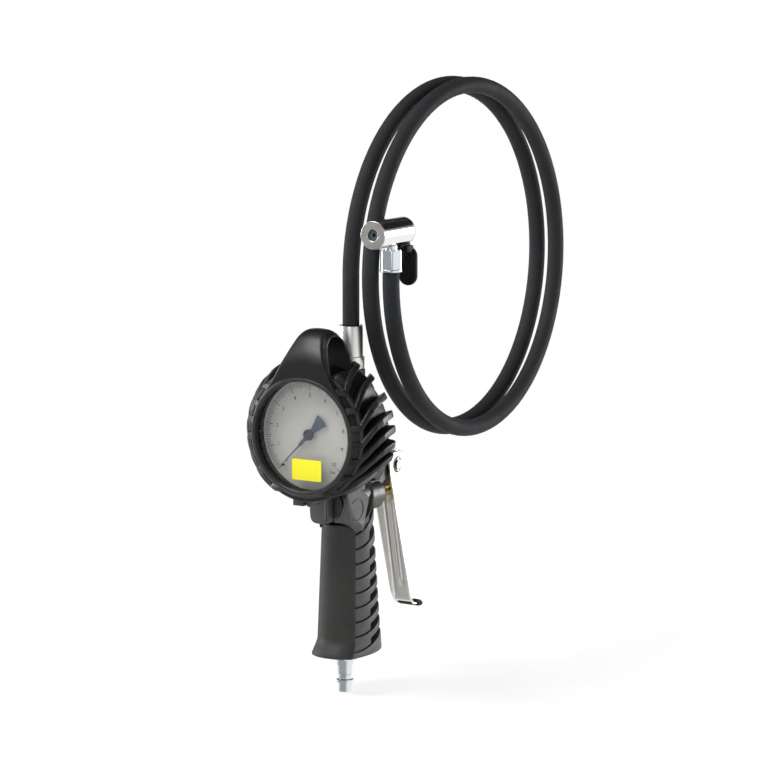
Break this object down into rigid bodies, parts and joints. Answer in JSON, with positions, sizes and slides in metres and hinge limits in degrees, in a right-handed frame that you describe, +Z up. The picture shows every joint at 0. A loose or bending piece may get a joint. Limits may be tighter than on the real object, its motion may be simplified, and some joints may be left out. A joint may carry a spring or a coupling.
{
  "type": "tyre inflator",
  "caption": "Hand-held pneumatic tyre inflator with a pistol grip and inflating lever, a dial gauge in a ribbed rubber boot, a coiled hose and a lever chuck.",
  "frame": {"origin": "centre of the inlet plug's lower end, on the plug's axis", "axes": "+Z up along the inlet plug and the grip, -Y the way the dial faces, +Y the lever's side, +X to the right as seen from the front"},
  "size_m": [0.111, 0.318, 0.428],
  "materials": {
    "zinc_plate": "bright zinc plating",
    "stainless": "warm brushed stainless steel",
    "cast_metal": "grey coated die casting",
    "brass_part": "plain turned brass",
    "chrome_plate": "polished chrome plating",
    "satin_nickel": "satin nickel plating",
    "boot_rubber": "moulded black rubber with a slight sheen",
    "hose_rubber": "smooth matt black rubber",
    "seal_rubber": "plain seal rubber",
    "grip_panel": "fine grained dark grey plastic",
    "grip_ribbed": "dark grey soft-touch plastic",
    "black_plastic": "black plastic",
    "gauge_glass": "clear plastic window",
    "dial_face": "light grey printed dial",
    "yellow_label": "bright yellow label",
    "pointer_blue": "dark blue-grey paint",
    "spring_steel": "blackened spring steel"
  },
  "bodies": {
    "root": {"inlet_plug": "zinc_plate", "plug_seal": "seal_rubber", "inlet_strainer": "brass_part", "valve_body": "cast_metal", "valve_cap": "cast_metal", "cap_ring": "seal_rubber", "poppet_spring": "spring_steel", "plunger_guide": "brass_part", "lever_pin": "zinc_plate", "retaining_clips": "spring_steel", "grip_front": "grip_panel", "grip_rear": "grip_ribbed", "grip_screws": "zinc_plate", "gauge_boot": "boot_rubber", "gauge_case": "black_plastic", "bezel_ring": "black_plastic", "window": "gauge_glass", "spacer_ring": "black_plastic", "dial_plate": "dial_face", "dial_label": "yellow_label", "zero_pin": "black_plastic", "hairspring": "spring_steel", "movement_frame": "brass_part", "bourdon_tube": "brass_part", "gauge_socket": "brass_part", "socket_seal": "seal_rubber", "hose_stem": "stainless", "stem_seal": "seal_rubber", "hose_ferrule": "stainless", "hose_root": "hose_rubber", "hose_lead": "hose_rubber", "hose_coil": "hose_rubber", "hose_tip": "hose_rubber", "chuck_nut": "zinc_plate", "chuck_tail": "zinc_plate", "chuck_body": "chrome_plate", "chuck_face": "satin_nickel", "chuck_seal": "seal_rubber", "clamp_spring": "spring_steel", "thumb_pin": "zinc_plate"},
    "lever": {"lever": "stainless", "lever_tip": "black_plastic"},
    "plunger": {"plunger": "brass_part", "plunger_ring": "seal_rubber"},
    "poppet": {"valve_poppet": "brass_part", "poppet_disc": "seal_rubber"},
    "sector": {"sector_gear": "brass_part"},
    "pointer": {"pointer": "pointer_blue", "pointer_arbor": "zinc_plate"},
    "link": {"link": "zinc_plate"},
    "thumb_lever": {"thumb_lever": "black_plastic"},
    "clamp": {"clamp_piston": "brass_part", "core_pin": "spring_steel"}
  },
  "joints": [
    {"name": "lever_swing", "type": "hinge", "parent": "root", "child": "lever", "pos_m": [0, 0.057, 0.155], "axis": [-1, 0, 0], "range_deg": [0, 12], "stiffness_Nm_per_rad": 4, "springref_deg": -3.44},
    {"name": "plunger_slide", "type": "slide", "parent": "root", "child": "plunger", "axis": [0, -1, 0], "range_m": [0, 0.0038]},
    {"name": "poppet_slide", "type": "slide", "parent": "root", "child": "poppet", "axis": [0, -1, 0], "range_m": [0, 0.0038], "deforming": ["poppet_spring"]},
    {"name": "sector_swing", "type": "hinge", "parent": "root", "child": "sector", "pos_m": [0.007, -0.032, 0.17738], "axis": [0, -1, 0], "range_deg": [0, 45], "stiffness_Nm_per_rad": 0.02, "springref_deg": -1.15},
    {"name": "pointer_turn", "type": "hinge", "parent": "root", "child": "pointer", "pos_m": [0, -0.032, 0.1895], "axis": [0, 1, 0], "range_deg": [0, 270]},
    {"name": "link_turn", "type": "hinge", "parent": "sector", "child": "link", "pos_m": [0.00509, -0.0306, 0.17276], "axis": [0, -1, 0], "range_deg": [-45, 0]},
    {"name": "thumb_swing", "type": "hinge", "parent": "root", "child": "thumb_lever", "pos_m": [0.033, 0.0215, 0.319], "axis": [-1, 0, 0], "range_deg": [0, 16]},
    {"name": "clamp_slide", "type": "slide", "parent": "root", "child": "clamp", "axis": [0, 1, 0], "range_m": [0, 0.0008], "stiffness_N_per_m": 2000, "springref_m": -0.001, "deforming": ["clamp_spring"]}
  ],
  "couplings": [
    {"joint": "plunger_slide", "follows": "lever_swing", "m_per_rad": 0.01795},
    {"joint": "poppet_slide", "follows": "lever_swing", "m_per_rad": 0.01795},
    {"joint": "pointer_turn", "follows": "sector_swing", "ratio": 6},
    {"joint": "link_turn", "follows": "sector_swing", "ratio": -1},
    {"joint": "thumb_swing", "follows": "clamp_slide", "rad_per_m": 322.58}
  ]
}
